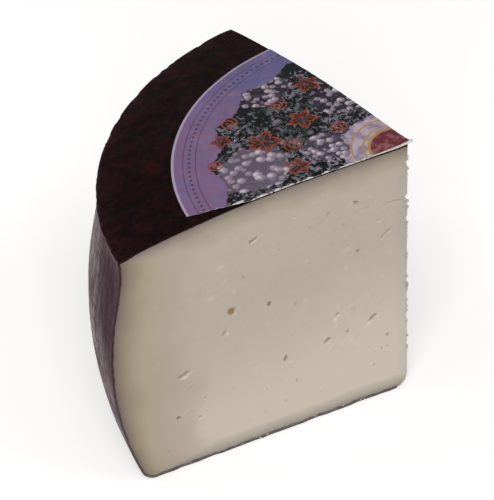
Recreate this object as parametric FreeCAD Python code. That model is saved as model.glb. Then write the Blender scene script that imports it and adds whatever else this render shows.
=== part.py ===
# A wedge cut from a small wheel of wine-washed goat cheese, with the piece of the round
# paper label that the knife left on it.
# Millimetres, +Z up. The wedge stands on the wheel's base. It is laid out from the tip of the
# wedge: the front cut lies in the XZ plane and looks along -Y, the side of the wheel is
# towards -X, and the back cut is turned from the front one by the wedge's angle.
# At the end both pieces move together, so that the origin is under the middle of the wedge.
import FreeCAD, Part
import math
import os

# The wheel
wheelHeight = 86.2        # at the middle of the top
rimDrop = 6.0             # how far the crown falls from there to the top edge
rimRadius = 85.0          # top edge
sideBulge = 5.4           # how far the side's widest place stands out past the top edge
bellyHeight = 42.0        # where that is
footInset = 1.8           # how far inside the top edge the side meets the base, if sharp
flatRadius = 25.0         # level middle of the crown
rimRound = 1.2            # the top edge is crisp
footRound = 4.5           # the base edge is soft
crownLean = 0.5           # degrees that the crown leans, low at the back
axisFromTip = (-1.2, -2.7)    # the cuts missed the wheel's axis a little

# The cuts
wedgeAngle = 79.3         # degrees between the two cuts
tipLean = 2.3             # the tip's edge leans, and its foot is this far towards the side
crumbReach = 3.0          # the crumbled corner at the foot of the tip, towards the side
crumbHeight = 5.0         # and up the tip's edge

# The label
labelRadius = 61.2
labelThickness = 0.3
labelFromTip = (-2.5, 1.0)    # middle of the round label
tipOverhang = 1.4         # the paper stands out past the tip
trimReach = 43.0          # the front edge leaves the cut here
trimSetback = 4.2         # and is this far behind it at the label's round edge

# Worked out
rimHeight = wheelHeight - rimDrop
bellyRadius = rimRadius + sideBulge
footRadius = rimRadius - footInset

# Working room, for bodies that cut each other
pastRim = 5.0             # side and crown keep their curve this far past the rim
margin = 30.0             # and tools reach this far past the cheese
seamTurn = -40.0          # degrees between the seams of the side and the crown


def point(x, y, z):
    return FreeCAD.Vector(x, y, z)


def closedFace(edges):
    return Part.Face(Part.Wire(edges))


def revolved(face, centre):
    """Turn a face in the XZ plane, drawn from the Z axis, about an upright axis at centre."""
    solid = face.revolve(point(0, 0, 0), point(0, 0, 1), 360)
    solid.translate(point(centre[0], centre[1], 0))
    return solid


def sideBody():
    """The drum without its crown: flat base, bulging side, and a plain top above the rim."""
    foot = point(footRadius, 0, 0)
    belly = point(bellyRadius, 0, bellyHeight)
    bulge = Part.Circle(foot, belly, point(rimRadius, 0, rimHeight))
    # the side's arc goes a little past the rim, where the crown will cut it off
    height = rimHeight + pastRim - bulge.Center.z
    top = bulge.Center + point(math.sqrt(bulge.Radius ** 2 - height ** 2), 0, height)
    above = wheelHeight + margin
    edges = [
        Part.makeLine(point(0, 0, 0), foot),
        Part.Arc(foot, belly, top).toShape(),
        Part.makeLine(top, point(top.x, 0, above)),
        Part.makeLine(point(top.x, 0, above), point(0, 0, above)),
        Part.makeLine(point(0, 0, above), point(0, 0, 0)),
    ]
    return revolved(closedFace(edges), axisFromTip)


def crownBody(raised):
    """All that lies below the crown's surface, with that surface raised by a given height."""
    level = wheelHeight + raised
    reach = rimRadius - flatRadius
    bend = (reach ** 2 + rimDrop ** 2) / (2 * rimDrop)    # radius of the arc from flat to rim
    turn = math.asin((reach + pastRim) / bend)
    start = point(flatRadius, 0, level)
    middle = start + point(bend * math.sin(turn / 2), 0, -bend * (1 - math.cos(turn / 2)))
    end = start + point(bend * math.sin(turn), 0, -bend * (1 - math.cos(turn)))
    outer = end + point(margin, 0, -margin * math.tan(turn))
    edges = [
        Part.makeLine(point(0, 0, -margin), point(0, 0, level)),
        Part.makeLine(point(0, 0, level), start),
        Part.Arc(start, middle, end).toShape(),
        Part.makeLine(end, outer),
        Part.makeLine(outer, point(outer.x, 0, -margin)),
        Part.makeLine(point(outer.x, 0, -margin), point(0, 0, -margin)),
    ]
    crown = revolved(closedFace(edges), axisFromTip)
    pivot = point(axisFromTip[0], axisFromTip[1], wheelHeight)
    crown.rotate(pivot, point(0, 0, 1), seamTurn)
    crown.rotate(pivot, point(1, 0, 0), -crownLean)
    return crown


def isRingAt(edge, low, high):
    """True for a closed edge round the wheel that lies between two heights."""
    box = edge.BoundBox
    return box.XLength > rimRadius and low < box.ZMin and box.ZMax < high


def wheel():
    body = sideBody().common(crownBody(0))
    sway = rimRadius * math.radians(crownLean)
    base = [e for e in body.Edges if isRingAt(e, -1, 1)]
    body = body.makeFillet(footRound, base)
    rim = [e for e in body.Edges if isRingAt(e, rimHeight - sway - 1, rimHeight + sway + 1)]
    return body.makeFillet(rimRound, rim)


def sector(bottom, top, overhang=0, meetsAt=None):
    """The wedge's room: between the front cut and the back cut, from one height to another.

    The label's room has its tip past the wedge's tip, by the overhang, and comes back to the
    wedge's back cut at a given distance from the tip.
    """
    cutAngle = math.radians(180 - wedgeAngle)
    far = rimRadius + 2 * margin
    lean = tipLean / wheelHeight

    def outline(z):
        wedgeTip = point(-lean * (wheelHeight - z), 0, z)
        tip = wedgeTip + point(overhang, 0, 0)
        away = point(math.cos(cutAngle), math.sin(cutAngle), 0)
        if meetsAt:
            away = (wedgeTip + away * meetsAt - tip).normalize()
        back = tip + away * far
        corner = back + point(-far, 0, 0)
        front = tip + point(-far * 2, 0, 0)
        return Part.makePolygon([tip, back, corner, front, tip])

    return Part.makeLoft([outline(bottom), outline(top)], True, True)


def crumbledCorner():
    """What has crumbled off the lowest corner of the tip: all that lies past a slanted plane."""
    middleAngle = math.radians(180 - wedgeAngle / 2)
    inward = point(math.cos(middleAngle), math.sin(middleAngle), 0)
    outward = (inward * -crumbHeight + point(0, 0, -crumbReach)).normalize()
    start = point(-tipLean, 0, 0) + inward * crumbReach
    return Part.makeCylinder(margin, margin, start, outward)


def cheese():
    piece = wheel().common(sector(-margin, wheelHeight + margin))
    return piece.cut(crumbledCorner()).Solids[0]


def labelOutline():
    """The label seen from above, as a tall solid: its disc within the wedge, less the trim."""
    disc = Part.makeCylinder(
        labelRadius,
        2 * margin,
        point(labelFromTip[0], labelFromTip[1], wheelHeight - margin),
    )
    room = sector(wheelHeight - margin, wheelHeight + margin, tipOverhang, labelRadius)
    piece = disc.common(room)
    edge = labelRadius - labelFromTip[0]
    run = edge - trimReach
    beyond = (run + margin) / run
    corners = [
        point(-trimReach, 0, 0),
        point(-trimReach - run * beyond, 0, 0),
        point(-trimReach - run * beyond, trimSetback * beyond, 0),
    ]
    trim = Part.Face(Part.makePolygon(corners + corners[:1])).extrude(point(0, 0, 2 * wheelHeight))
    return piece.cut(trim)


def label():
    """Paper that follows the crown and lies face to face with it."""
    sheet = crownBody(labelThickness).cut(crownBody(0))
    return sheet.common(labelOutline()).Solids[0]


def moveToMiddle(shapes):
    """Shift all pieces so that the origin is under the middle of their common box."""
    box = FreeCAD.BoundBox()
    for shape in shapes.values():
        box.add(shape.optimalBoundingBox(False))
    for shape in shapes.values():
        shape.translate(point(-box.Center.x, -box.Center.y, -box.ZMin))


def main():
    shapes = {"cheese": cheese(), "label": label()}
    moveToMiddle(shapes)
    os.makedirs("parts", exist_ok=True)
    for name, shape in shapes.items():
        box = shape.optimalBoundingBox(False)
        sizes = f"{box.XLength:.2f} x {box.YLength:.2f} x {box.ZLength:.2f} mm"
        print(name, "valid" if shape.isValid() else "NOT VALID", sizes, f"{shape.Volume / 1000:.1f} cm3")
        shape.exportStep(f"parts/{name}.step")


main()
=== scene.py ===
import math
import random

import bmesh
import bpy
import numpy as np
from mathutils import Matrix, Vector, noise


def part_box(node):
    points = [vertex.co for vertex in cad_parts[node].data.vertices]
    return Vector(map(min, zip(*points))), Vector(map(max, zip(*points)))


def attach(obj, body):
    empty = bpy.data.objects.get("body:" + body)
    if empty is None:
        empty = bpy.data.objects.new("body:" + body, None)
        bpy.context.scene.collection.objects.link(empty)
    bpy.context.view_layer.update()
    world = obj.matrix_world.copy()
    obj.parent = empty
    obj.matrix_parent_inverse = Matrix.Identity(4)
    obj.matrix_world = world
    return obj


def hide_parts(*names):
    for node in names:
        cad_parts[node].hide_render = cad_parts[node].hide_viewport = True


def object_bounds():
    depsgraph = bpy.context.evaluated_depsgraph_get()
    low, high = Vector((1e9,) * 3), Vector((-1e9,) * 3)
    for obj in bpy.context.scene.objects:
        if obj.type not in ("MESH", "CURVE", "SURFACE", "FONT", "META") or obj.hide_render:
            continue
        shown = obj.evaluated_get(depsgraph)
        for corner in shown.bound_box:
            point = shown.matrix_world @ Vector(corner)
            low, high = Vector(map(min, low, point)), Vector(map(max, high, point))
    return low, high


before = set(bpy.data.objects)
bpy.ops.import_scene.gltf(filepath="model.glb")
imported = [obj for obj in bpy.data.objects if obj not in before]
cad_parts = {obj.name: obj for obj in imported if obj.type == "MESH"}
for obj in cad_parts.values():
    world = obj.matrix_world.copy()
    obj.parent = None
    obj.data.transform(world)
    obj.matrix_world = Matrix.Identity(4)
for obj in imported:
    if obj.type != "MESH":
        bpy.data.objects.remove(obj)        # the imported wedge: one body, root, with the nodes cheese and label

# Lengths are millimetres, worked out from the foot of the front cut under the wedge's tip:
# the front cut lies at y = 0 and looks along -y, and the side of the wheel is towards -x
mm = 0.001
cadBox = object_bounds()
cheeseLow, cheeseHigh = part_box("cheese")
tip = np.array((cheeseHigh[0], cheeseLow[1], cheeseLow[2]))
scene = bpy.context.scene

wheel = {
    "height": 86.2,         # at the middle of the crown
    "rimDrop": 6.0,         # fall of the crown to its edge
    "rimRadius": 85.0,
    "bulge": 5.4,           # of the side, past the rim
    "bellyHeight": 42.0,
    "footInset": 1.8,
    "flatRadius": 25.0,     # level middle of the crown
    "lean": math.tan(math.radians(0.5)),
    "axis": (-1.2, -2.7),
    "neck": (10.0, 2.0),    # the side is drawn in under the rim: this far below, this deep
    "rimCorner": 0.7,       # where the rounding of each corner starts
    "footCorner": 3.6,
}

cut = {
    "front": math.radians(180),
    "back": math.radians(180 - 79.3),
    "tipLean": 2.3,         # the foot of the tip is this far towards the side
    "edge": 0.12,           # the tip's edge is this blunt
    "crumbReach": 1.9,      # what has crumbled off the foot of the tip
    "crumbHeight": 3.9,
    "crumbSoft": 0.7,       # how softly that corner runs into the edge
    "undercut": (0.7, 1.1),     # its foot is drawn in: this deep, up to this height
    "chipDepth": 0.75,      # the lowest edge of each cut is chipped: this deep at most
    "chipHeight": 1.6,      # up to this height in the rind
    "chipReach": 1.5,       # and this far behind the cut
    "inside": (-35, 25, 43),    # a place in the middle of the wedge
}
middleTurn = (cut["front"] + cut["back"]) / 2


def stacked(*parts):
    # points from their coordinates, each an array or one number for all
    return np.stack(np.broadcast_arrays(*parts), -1)


def falling(value, reach):
    # 1 at nothing, down to 0 at reach
    return np.clip(1 - value / reach, 0, 1)


# shape of the wheel, and of a slice in any direction from the tip's edge

def circleThrough(a, b, c):
    # centre and radius of the circle through three points
    (ax, ay), (bx, by), (cx, cy) = a, b, c
    d = 2 * (ax * (by - cy) + bx * (cy - ay) + cx * (ay - by))
    aa, bb, cc = ax * ax + ay * ay, bx * bx + by * by, cx * cx + cy * cy
    x = (aa * (by - cy) + bb * (cy - ay) + cc * (ay - by)) / d
    y = (aa * (cx - bx) + bb * (ax - cx) + cc * (bx - ax)) / d
    return x, y, math.hypot(ax - x, ay - y)


sideCircle = circleThrough(
    (wheel["rimRadius"] - wheel["footInset"], 0),
    (wheel["rimRadius"] + wheel["bulge"], wheel["bellyHeight"]),
    (wheel["rimRadius"], wheel["height"] - wheel["rimDrop"]),
)
crownReach = wheel["rimRadius"] - wheel["flatRadius"]
crownBend = (crownReach ** 2 + wheel["rimDrop"] ** 2) / (2 * wheel["rimDrop"])


def tipLine(z):
    return -cut["tipLean"] * (1 - z / wheel["height"])


def place(alpha, d, z):
    # the point at distance d from the tip's edge, in direction alpha, at height z
    x, y = tipLine(z) + d * np.cos(alpha), d * np.sin(alpha)
    return stacked(x, y, z)


def sideReach(alpha, z, inset=0.0):
    # from the tip's edge out to the side
    centreR, centreZ, bend = sideCircle
    below = np.clip(wheel["height"] - wheel["rimDrop"] - z, 0, None) / wheel["neck"][0]
    neck = wheel["neck"][1] * below * np.exp(1 - below)
    radius = centreR + np.sqrt(bend ** 2 - (z - centreZ) ** 2) - neck - inset
    ex, ey = tipLine(z) - wheel["axis"][0], -wheel["axis"][1]
    b = ex * np.cos(alpha) + ey * np.sin(alpha)
    return -b + np.sqrt(b * b - ex * ex - ey * ey + radius * radius)


def crownHeight(x, y, inset=0.0):
    out = np.hypot(x - wheel["axis"][0], y - wheel["axis"][1]) - wheel["flatRadius"]
    fall = crownBend - np.sqrt(crownBend ** 2 - np.clip(out, 0, None) ** 2)
    return wheel["height"] - fall - wheel["lean"] * (y - wheel["axis"][1]) - inset


def crownAt(alpha, d, inset=0.0):
    return crownHeight(d * np.cos(alpha), d * np.sin(alpha), inset)


def rimAt(alpha, inset=0.0):
    # distance and height of the sharp edge between side and crown
    z = np.full_like(alpha, wheel["height"] - wheel["rimDrop"])
    for _ in range(6):      # closes in on it
        d = sideReach(alpha, z, inset)
        z = crownAt(alpha, d, inset)
    return d, z


def roundCorner(start, corner, end, t, weight=0.8):
    # from start to end, both (distance, height), pulled towards the corner
    a, b, c = (1 - t) ** 2, 2 * weight * t * (1 - t), t ** 2
    return [(a * s + b * m + c * e) / (a + b + c) for s, m, e in zip(start, corner, end)]


def tipStart(alpha, z):
    # distance from the tip's edge at which the cheese begins, more where it has crumbled
    gone = cut["crumbReach"] / np.cos(alpha - middleTurn) * (1 - z / cut["crumbHeight"])
    softened = (gone + np.sqrt(gone ** 2 + cut["crumbSoft"])) / 2
    deep, high = cut["undercut"]
    return np.maximum(softened - 0.03, cut["edge"]) + deep * falling(z, high) ** 2


def outline(alpha, rows, inset=0.0):
    # a slice's outline: from the tip along the base, up the side and back over the crown
    alpha = np.atleast_1d(alpha)[None, :]

    def steps(name):
        return np.linspace(0, 1, rows[name], endpoint=False)[:, None]

    low = np.full_like(alpha, inset)
    footD, footTop = sideReach(alpha, low, inset), low + wheel["footCorner"]
    footIn = footD - wheel["footCorner"]
    rimD, rimZ = rimAt(alpha, inset)
    rimLow, rimIn = rimZ - wheel["rimCorner"], rimD - wheel["rimCorner"]
    start = tipStart(alpha, low)
    z = footTop + steps("side") * (rimLow - footTop)
    d = rimIn + np.linspace(0, 1, rows["crown"] + 1)[:, None] * (cut["edge"] - rimIn)
    stretches = (
        (start + steps("base") * (footIn - start), low + 0 * steps("base")),
        roundCorner((footIn, low), (footD, low), (sideReach(alpha, footTop, inset), footTop), steps("foot")),
        (sideReach(alpha, z, inset), z),
        roundCorner(
            (sideReach(alpha, rimLow, inset), rimLow), (rimD, rimZ),
            (rimIn, crownAt(alpha, rimIn, inset)), steps("rim"),
        ),
        (d, crownAt(alpha, d, inset)),
    )
    return [np.concatenate([s[i] for s in stretches]) for i in (0, 1)]


def crownShare(rows):
    # for each point of an outline: 0 up to the rim, 1 on the crown well away from it
    before = sum(rows.values()) - rows["crown"]
    onCrown = np.linspace(0, wheel["rimRadius"], rows["crown"] + 1)
    return np.concatenate((np.zeros(before), np.clip((onCrown - 2) / 4, 0, 1)))[:, None]


def cutNormals():
    # of the two knife cuts, looking out of the cheese
    lean = np.array((cut["tipLean"], 0, wheel["height"]))
    found = []
    for alpha, side in ((cut["front"], -1), (cut["back"], 1)):
        normal = np.cross(np.array((math.cos(alpha), math.sin(alpha), 0)), lean) * side
        found.append(normal / np.linalg.norm(normal))
    return found


frontNormal, backNormal = cutNormals()


# helpers for meshes

def fractal(points, size, octaves=3, seed=0):
    # soft uneven heights between about -1 and 1, in bumps of a given size
    away = Vector((7.3 * seed, 3.1 * seed, 5.7 * seed))
    flat = np.asarray(points).reshape(-1, 3) / size
    heights = [noise.fractal(Vector(p) + away, 0.9, 2.1, octaves) for p in flat]
    return np.array(heights).reshape(np.shape(points)[:-1])


def near(value, centre, width):
    return np.exp(-((value - centre) / width) ** 2)


def quads(ids):
    # faces of a sheet whose points are numbered by a two-way table
    corners = (ids[:-1, :-1], ids[:-1, 1:], ids[1:, 1:], ids[1:, :-1])
    return stacked(*corners).reshape(-1, 4).tolist()


def outwardNormals(grid, middle):
    normals = np.cross(np.gradient(grid, axis=0), np.gradient(grid, axis=1))
    normals /= np.maximum(np.linalg.norm(normals, axis=-1, keepdims=True), 1e-12)
    return normals * np.sign(np.sum(normals * (grid - middle), -1, keepdims=True))


def baseChips(d, seed):
    # how deep the lowest edge of a cut is chipped, at distance d from the tip
    at = stacked(d, 0, 17.0 * seed)
    chips = 0.16 + 0.4 * fractal(at, 5.0, 4, seed=16) + 0.35 * fractal(at, 1.7, 2, seed=18)
    return np.clip(chips, 0, cut["chipDepth"])


def chippedBase(points, d, z):
    # the skin drawn back where the lowest edge of either cut has chipped
    low = z < cut["chipHeight"]
    for normal, seed in ((frontNormal, 1), (backNormal, 2)):
        behind = -((points[low] - (-cut["tipLean"], 0, 0)) @ normal) / cut["chipReach"]
        chip = baseChips(d[low], seed) * (1 - z[low] / cut["chipHeight"]) ** 0.7
        points[low] -= normal * (chip * np.clip(1 - behind, 0, None))[:, None]
    return points


def makePiece(name, points, faces, materials, masks=None, finishes=None, sharp=40):
    mesh = bpy.data.meshes.new(name)
    mesh.from_pydata((np.asarray(points) * mm + tip).tolist(), [], faces)
    for material in materials:
        mesh.materials.append(material)
    if finishes is not None:
        mesh.polygons.foreach_set("material_index", finishes)
    for key, values in (masks or {}).items():
        values = np.asarray(values, np.float32)
        kind, field = ("FLOAT", "value") if values.ndim == 1 else ("FLOAT_VECTOR", "vector")
        mesh.attributes.new(key, kind, "POINT").data.foreach_set(field, values.ravel())
    shape = bmesh.new()
    shape.from_mesh(mesh)
    bmesh.ops.recalc_face_normals(shape, faces=shape.faces)
    shape.to_mesh(mesh)
    shape.free()
    mesh.polygons.foreach_set("use_smooth", [True] * len(mesh.polygons))
    mesh.set_sharp_from_angle(angle=math.radians(sharp))
    mesh.update()
    piece = bpy.data.objects.new(name, mesh)
    scene.collection.objects.link(piece)
    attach(piece, "root")
    triangles = sum(len(p.vertices) - 2 for p in mesh.polygons)
    print(f"{name}: {triangles} triangles")
    return piece


# helpers for materials

def colour(code):
    parts = [int(code[i:i + 2], 16) / 255 for i in (0, 2, 4)]
    return tuple(c / 12.92 if c <= 0.04045 else ((c + 0.055) / 1.055) ** 2.4 for c in parts) + (1,)


def node(tree, kind, values=None, **settings):
    # a shader node with its settings, and values or links for its inputs
    made = tree.nodes.new(kind)
    for key, value in settings.items():
        setattr(made, key, value)
    for key, value in (values or {}).items():
        if isinstance(value, bpy.types.NodeSocket):
            tree.links.new(value, made.inputs[key])
        else:
            made.inputs[key].default_value = value
    return made


def calc(tree, operation, *values):
    return node(tree, "ShaderNodeMath", dict(enumerate(values)), operation=operation).outputs[0]


def times(tree, *values):
    return calc(tree, "MULTIPLY", *values)


def plus(tree, *values):
    return calc(tree, "ADD", *values)


def minus(tree, *values):
    return calc(tree, "SUBTRACT", *values)


def over(tree, *values):
    return calc(tree, "DIVIDE", *values)


def off(tree, value, centre):
    # how far a value is off another one, either way
    return calc(tree, "ABSOLUTE", minus(tree, value, centre))


def vectorCalc(tree, operation, *values, give=0):
    made = node(tree, "ShaderNodeVectorMath", dict(enumerate(values)), operation=operation)
    return made.outputs[give]


def length(tree, vector):
    return vectorCalc(tree, "LENGTH", vector, give=1)


def turned(tree, vector, angle):
    return node(tree, "ShaderNodeVectorRotate", {"Vector": vector, "Angle": angle}).outputs[0]


def split(tree, vector):
    return node(tree, "ShaderNodeSeparateXYZ", {0: vector}).outputs


def fade(tree, value, start, end, low=0.0, high=1.0):
    # low at start, high at end, with a soft run between; start may lie past end
    values = {0: value, 1: start, 2: end, 3: low, 4: high}
    return node(tree, "ShaderNodeMapRange", values, interpolation_type="SMOOTHSTEP").outputs[0]


def paint(tree, base, share, top, mode="MIX"):
    values = {0: share, 6: base, 7: top}
    return node(tree, "ShaderNodeMix", values, data_type="RGBA", blend_type=mode).outputs[2]


def coats(tree, skin, palette, layers):
    # named colours over one another, each where its mask is and by its share
    for where, share, name in layers:
        skin = paint(tree, skin, times(tree, where, share), colour(palette[name]))
    return skin


def cloud(tree, at, size, detail=3.0, rough=0.55, bent=0.0):
    # soft noise whose features have about a given size
    scale = 1 / size if isinstance(size, float) else over(tree, 1.0, size)
    values = {"Vector": at, "Scale": scale, "Detail": detail, "Roughness": rough, "Distortion": bent}
    return node(tree, "ShaderNodeTexNoise", values).outputs[0]


def colourRun(tree, value, stops):
    # a run of colours, each at its own distance
    far = stops[-1][0]
    made = node(tree, "ShaderNodeValToRGB", {0: over(tree, value, far)})
    marks = made.color_ramp.elements
    for i, (at, code) in enumerate(stops):
        mark = marks[i] if i < 2 else marks.new(at / far)
        mark.position = at / far
        mark.color = colour(code)
    return made.outputs[0]


def mask(tree, name, give="Fac"):
    return node(tree, "ShaderNodeAttribute", attribute_name=name).outputs[give]


def newGroup(name, takes, *gives):
    tree = bpy.data.node_groups.new(name, "ShaderNodeTree")
    for key, start in takes.items():
        kind = "Float" if isinstance(start, float) else "Vector"
        socket = tree.interface.new_socket(key, in_out="INPUT", socket_type="NodeSocket" + kind)
        socket.default_value = start
    for key in gives:
        tree.interface.new_socket(key, in_out="OUTPUT", socket_type="NodeSocketFloat")
    entry, leave = tree.nodes.new("NodeGroupInput"), tree.nodes.new("NodeGroupOutput")
    return tree, entry.outputs, leave.inputs


def useGroup(tree, group, values):
    return node(tree, "ShaderNodeGroup", values, node_tree=group).outputs


def newMaterial(name, finish):
    material = bpy.data.materials.new(name)
    material.use_nodes = True
    shader = material.node_tree.nodes["Principled BSDF"]
    for key, value in finish.items():
        shader.inputs[key].default_value = value
    return material, material.node_tree, shader


def surface(tree, shader, skin, height, strength, depth):
    # a surface's colour and its fine relief
    tree.links.new(skin, shader.inputs["Base Color"])
    bump = node(tree, "ShaderNodeBump", {"Height": height, "Strength": strength, "Distance": depth * mm})
    tree.links.new(bump.outputs[0], shader.inputs["Normal"])


def realSize(tree):
    # the place on the piece, in millimetres
    at = node(tree, "ShaderNodeTexCoord").outputs["Object"]
    values = {0: at, "Scale": 1 / mm}
    return node(tree, "ShaderNodeVectorMath", values, operation="SCALE").outputs[0]


# effects that several materials share

def mottlingGroup():
    # soft blotches: 0 where clear, 1 in a blotch
    tree, take, give = newGroup(
        "mottling", {"Place": (0, 0, 0), "Size": 3.0, "Start": 0.5, "Full": 0.7}, "Mask"
    )
    blotch = cloud(tree, take["Place"], take["Size"], 4.0, 0.6, 0.4)
    tree.links.new(fade(tree, blotch, take["Start"], take["Full"]), give["Mask"])
    return tree


def specksGroup():
    # scattered specks of uneven size
    tree, take, give = newGroup(
        "specks", {"Place": (0, 0, 0), "Spacing": 2.0, "Share": 0.3, "Radius": 0.3}, "Mask"
    )
    cells = node(tree, "ShaderNodeTexVoronoi", {
        "Vector": take["Place"], "Scale": over(tree, 1.0, take["Spacing"]),
    }).outputs
    reach = plus(tree, cells["Distance"], times(tree, cloud(tree, take["Place"], 0.5), 0.25))
    draw = node(tree, "ShaderNodeSeparateColor", {0: cells["Color"]}).outputs
    size = times(tree, take["Radius"], plus(tree, draw[1], 0.4))
    shape = fade(tree, minus(tree, plus(tree, size, 0.12), reach), 0.0, 0.12)
    chosen = calc(tree, "LESS_THAN", draw[0], take["Share"])
    tree.links.new(times(tree, shape, chosen), give["Mask"])
    return tree


def scratchesGroup():
    # thin broken lines in one direction
    tree, take, give = newGroup(
        "scratches", {"Place": (0, 0, 0), "Spacing": 3.0, "Turn": 0.0, "Amount": 0.5}, "Mask"
    )
    stretched = vectorCalc(tree, "MULTIPLY", turned(tree, take["Place"], take["Turn"]), (0.06, 1.0, 1.0))
    lines = cloud(tree, stretched, take["Spacing"], 2.0, 0.7)
    thin = fade(tree, off(tree, lines, 0.5), 0.012, 0.0)
    broken = fade(tree, cloud(tree, take["Place"], 7.0), 0.5, 0.62)
    tree.links.new(times(tree, times(tree, thin, broken), take["Amount"]), give["Mask"])
    return tree


def clothGroup():
    # fine level lines that the moulding cloth pressed into the side, and a grain
    tree, take, give = newGroup("cloth print", {"Place": (0, 0, 0), "Spacing": 1.1}, "Height")
    bent = plus(tree, split(tree, take["Place"])[2], times(tree, cloud(tree, take["Place"], 8.0, 2.0), 5.0))
    turns = over(tree, times(tree, bent, 2 * math.pi), take["Spacing"])
    patchy = fade(tree, cloud(tree, take["Place"], 5.0), 0.42, 0.6, 0.0, 0.5)
    lines = times(tree, calc(tree, "SINE", turns), patchy)
    tree.links.new(plus(tree, lines, cloud(tree, take["Place"], 0.6, 4.0)), give["Height"])
    return tree


mottling, specks, scratches, clothPrint = mottlingGroup(), specksGroup(), scratchesGroup(), clothGroup()
print("shared effects made")


def blotches(tree, at, size, start, full):
    # the shared blotches, of a given size; the lower start and full, the more of them
    return useGroup(tree, mottling, {"Place": at, "Size": size, "Start": start, "Full": full})[0]


# the rind: a skin round the paste, cut with it

rind = {
    "rows": {"base": 30, "foot": 8, "side": 150, "rim": 6, "crown": 160},
    "columns": 230,
    "innerColumns": 16,
    "thick": 0.78,
    "crownThick": 0.36,
    "uneven": 0.09,         # broad unevenness of the skin, all of it inwards
    "chip": 0.2,            # deepest chip in the rim
    "crown": "0d0404",
    # blotches on the crown: size, where they start and are full, share, colour
    "crownBlotches": ((6.0, 0.46, 0.72, 0.6, "2b100f"), (2.0, 0.48, 0.66, 0.5, "2b100f"),
                      (14.0, 0.5, 0.8, 0.5, "160d0e")),
    "crownRim": "2c1617",
    "rimBand": (85.0, 92.0),    # the redder band by the rim: starts and is full, from the axis
    "rimBandDrift": 12.0,   # and wanders inwards by up to this
    "crownScratch": "3d2e2c",
    # painted highlight along the rim, where its rounded edge catches the light
    "crownRimGlint": "5d4d4e",
    "side": "1c1214",
    "sidePurple": "2e2029",
    "sideGreen": "2a2926",
    "sideRed": "2b1618",
    "sidePale": "3d3438",
    "sideAtCut": "4c353a",
    # painted highlight: a pale line just under the rim, where its rounding catches the light
    "sideRimGlint": "776a6e",
    "sidePit": "0c0808",
    "sheen": "a8567a",
    "sideRough": 0.22,
    # handled and so duller near the cuts: along the side, none at the first and full at the second
    "handledFront": (10.0, 2.0),
    "handledBack": (119.0, 127.0),
    "handledWidens": 0.5,   # both bands are wider by this for each millimetre up
    "handledLess": 17.0,    # and narrower by this at the base
    "cutEdge": "3c2726",
    "cutEdgeLow": "4c4546",
    "cutEdgePale": "5a4a40",
    "cutEdgeRim": "1c0f0e",
    "rimHeights": (78.6, 79.8),
    "foot": "6c6663",
    "footShade": "494443",
    "footLowest": "403b3b",
}


def fromAxis(tree, at):
    axis = (tip[0] / mm + wheel["axis"][0], tip[1] / mm + wheel["axis"][1], 0)
    return vectorCalc(tree, "SUBTRACT", at, axis)


def crownMaterial():
    material, tree, shader = newMaterial("crown rind", {"Specular IOR Level": 0.02})
    at = realSize(tree)
    skin = colour(rind["crown"])
    for size, start, full, share, tint in rind["crownBlotches"]:
        skin = paint(tree, skin, times(tree, blotches(tree, at, size, start, full), share), colour(tint))
    level = vectorCalc(tree, "MULTIPLY", fromAxis(tree, at), (1, 1, 0))
    drift = times(tree, cloud(tree, at, 9.0), rind["rimBandDrift"])
    outwards = plus(tree, length(tree, level), drift)
    broken = fade(tree, cloud(tree, at, 1.8), 0.38, 0.62, 0.1, 0.9)
    lines = useGroup(tree, scratches, {"Place": at, "Spacing": 4.0, "Turn": 0.7, "Amount": 0.2})[0]
    skin = coats(tree, skin, rind, (
        (fade(tree, outwards, *rind["rimBand"]), broken, "crownRim"),
        (lines, 1.0, "crownScratch"),
        # painted highlight along the rim
        (mask(tree, "rimGlint"), fade(tree, cloud(tree, at, 2.2), 0.42, 0.56), "crownRimGlint"),
    ))
    rough = fade(tree, cloud(tree, at, 5.0), 0.3, 0.7, 0.5, 0.66)
    tree.links.new(rough, shader.inputs["Roughness"])
    height = plus(tree, cloud(tree, at, 0.9, 5.0), times(tree, lines, -0.5))
    surface(tree, shader, skin, height, 0.4, 0.1)
    return material


def unrolled(tree, at):
    # the place on the side as if it were rolled out flat: along it, nothing, and up
    x, y, z = split(tree, fromAxis(tree, at))
    angle = calc(tree, "ARCTAN2", y, times(tree, x, -1.0))
    along = times(tree, angle, wheel["rimRadius"])
    return node(tree, "ShaderNodeCombineXYZ", {0: along, 2: z}).outputs[0]


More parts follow.
